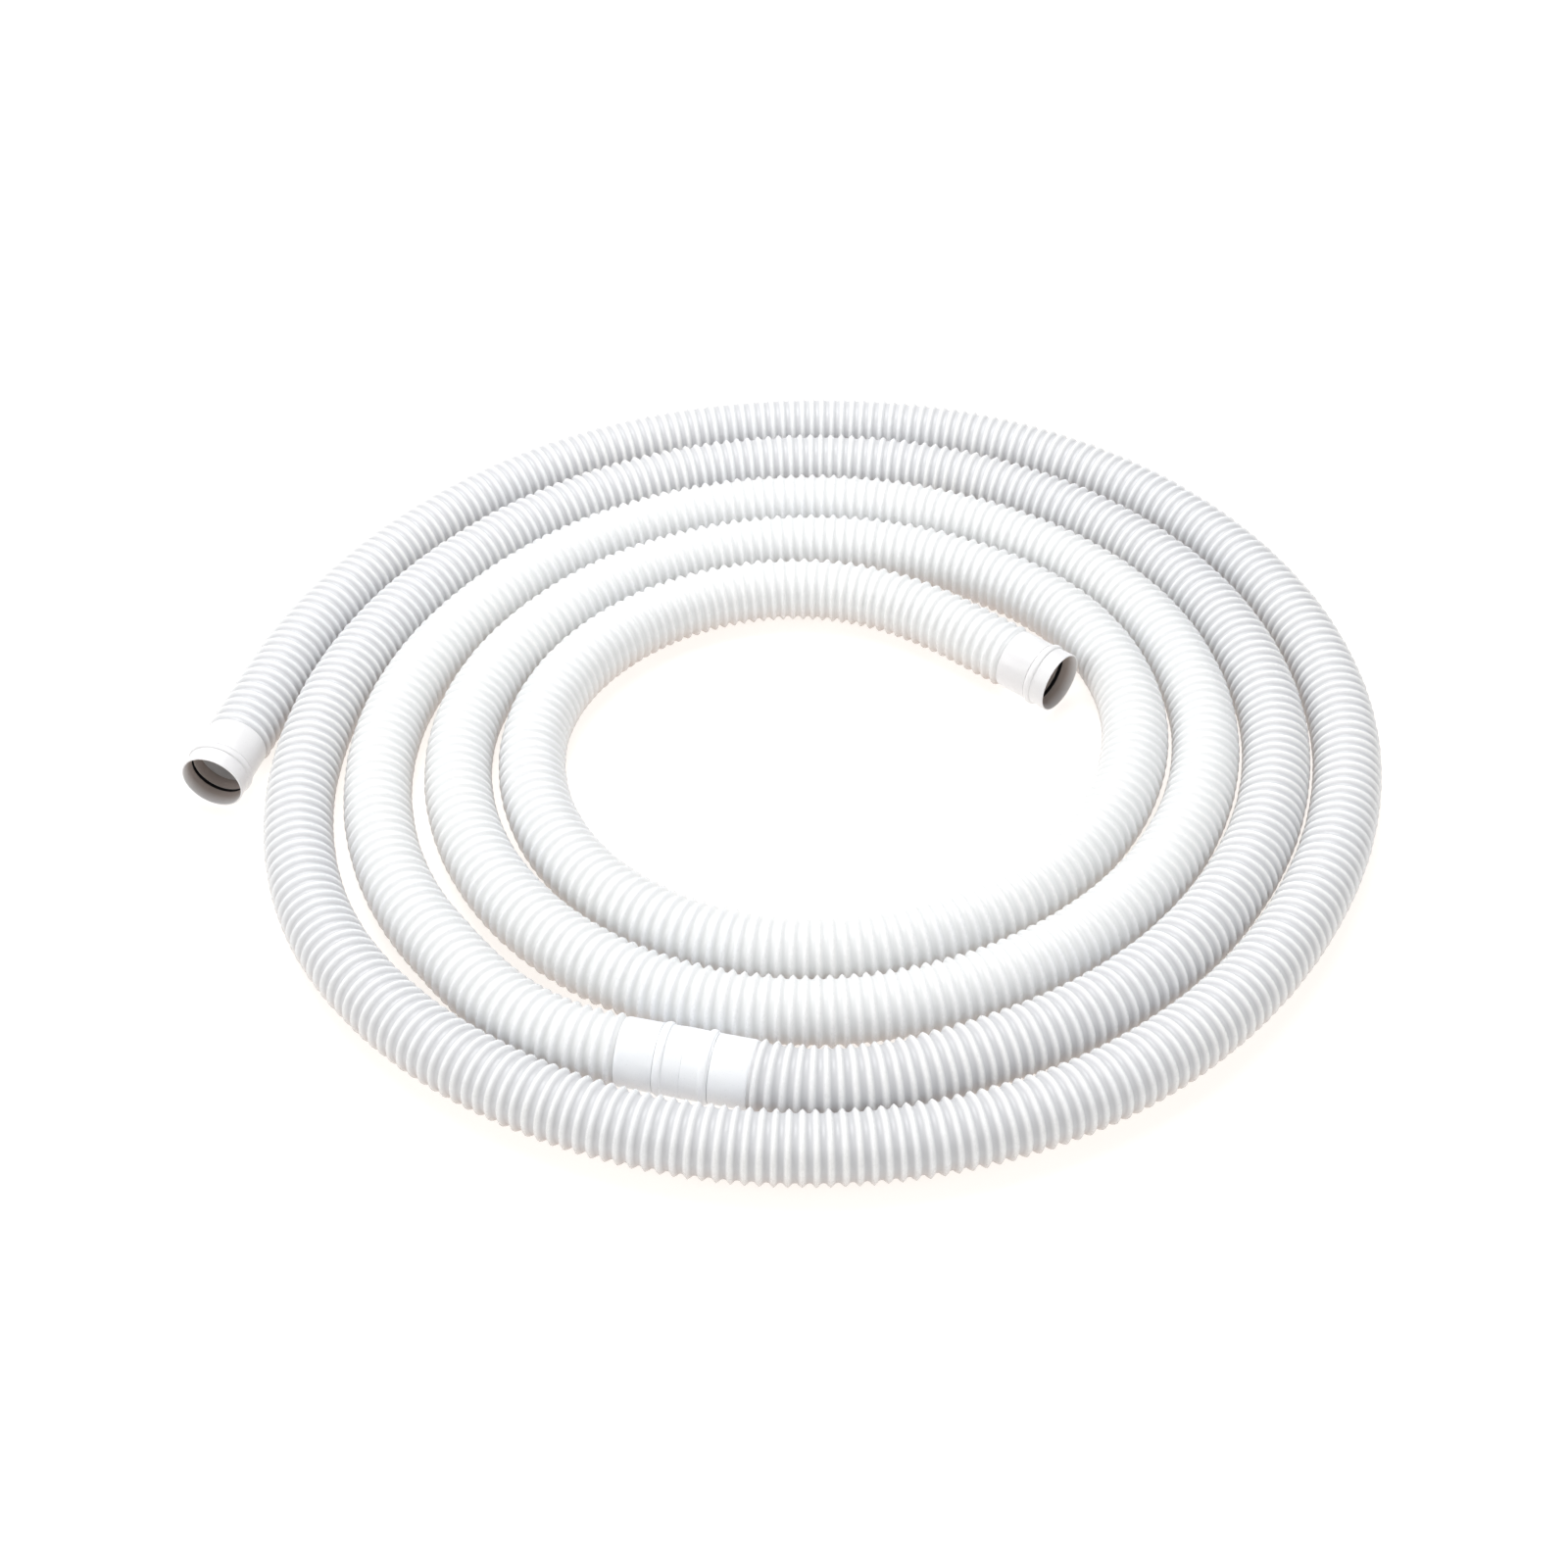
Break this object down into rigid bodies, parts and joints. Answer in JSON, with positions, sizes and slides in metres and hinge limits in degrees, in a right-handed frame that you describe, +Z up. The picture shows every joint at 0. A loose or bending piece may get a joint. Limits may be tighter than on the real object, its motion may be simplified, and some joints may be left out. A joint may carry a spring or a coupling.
{
  "type": "pool vacuum hose",
  "caption": "Flexible corrugated suction hose in a flat spiral coil, with a swivel cuff at each end and a double swivel cuff joining its lengths.",
  "frame": {"origin": "on the ground, under the middle of the coil's bounding box", "axes": "+Z up from the ground; +X along the coil's longest width, with the outer end of the hose on the -X side; the outer cuff's mouth points towards -Y"},
  "size_m": [0.8, 0.7294, 0.045],
  "materials": {
    "hose_plastic": "white, slightly see-through blown polyethylene, satin",
    "cuff_plastic": "white moulded plastic, semi-gloss",
    "coupling_plastic": "bluish white moulded plastic, semi-gloss",
    "seal_rubber": "black rubber, matt"
  },
  "bodies": {
    "hose": {"hose_outer_length": "hose_plastic", "hose_inner_length": "hose_plastic", "outer_cuff_collar": "cuff_plastic", "coupling_outer_collar": "coupling_plastic", "coupling_inner_collar": "coupling_plastic", "inner_cuff_collar": "cuff_plastic"},
    "outer_swivel": {"outer_cuff_sleeve": "cuff_plastic", "outer_cuff_seal": "seal_rubber"},
    "coupling_swivel": {"coupling_outer_sleeve": "coupling_plastic", "coupling_outer_seal": "seal_rubber", "coupling_inner_sleeve": "coupling_plastic", "coupling_inner_seal": "seal_rubber", "coupling_nipple": "coupling_plastic"},
    "inner_swivel": {"inner_cuff_sleeve": "cuff_plastic", "inner_cuff_seal": "seal_rubber"}
  },
  "joints": [
    {"name": "outer_cuff_turn", "type": "hinge", "parent": "hose", "child": "outer_swivel", "pos_m": [-0.37806, -0.03998, 0.0225], "axis": [-0.2588, -0.9659, 0], "continuous": true},
    {"name": "coupling_turn", "type": "hinge", "parent": "hose", "child": "coupling_swivel", "pos_m": [-0.05904, -0.28057, 0.0225], "axis": [-0.9748, 0.2233, 0], "continuous": true},
    {"name": "inner_cuff_turn", "type": "hinge", "parent": "hose", "child": "inner_swivel", "pos_m": [0.18104, 0.05323, 0.0225], "axis": [0.766, -0.6428, 0], "continuous": true}
  ]
}
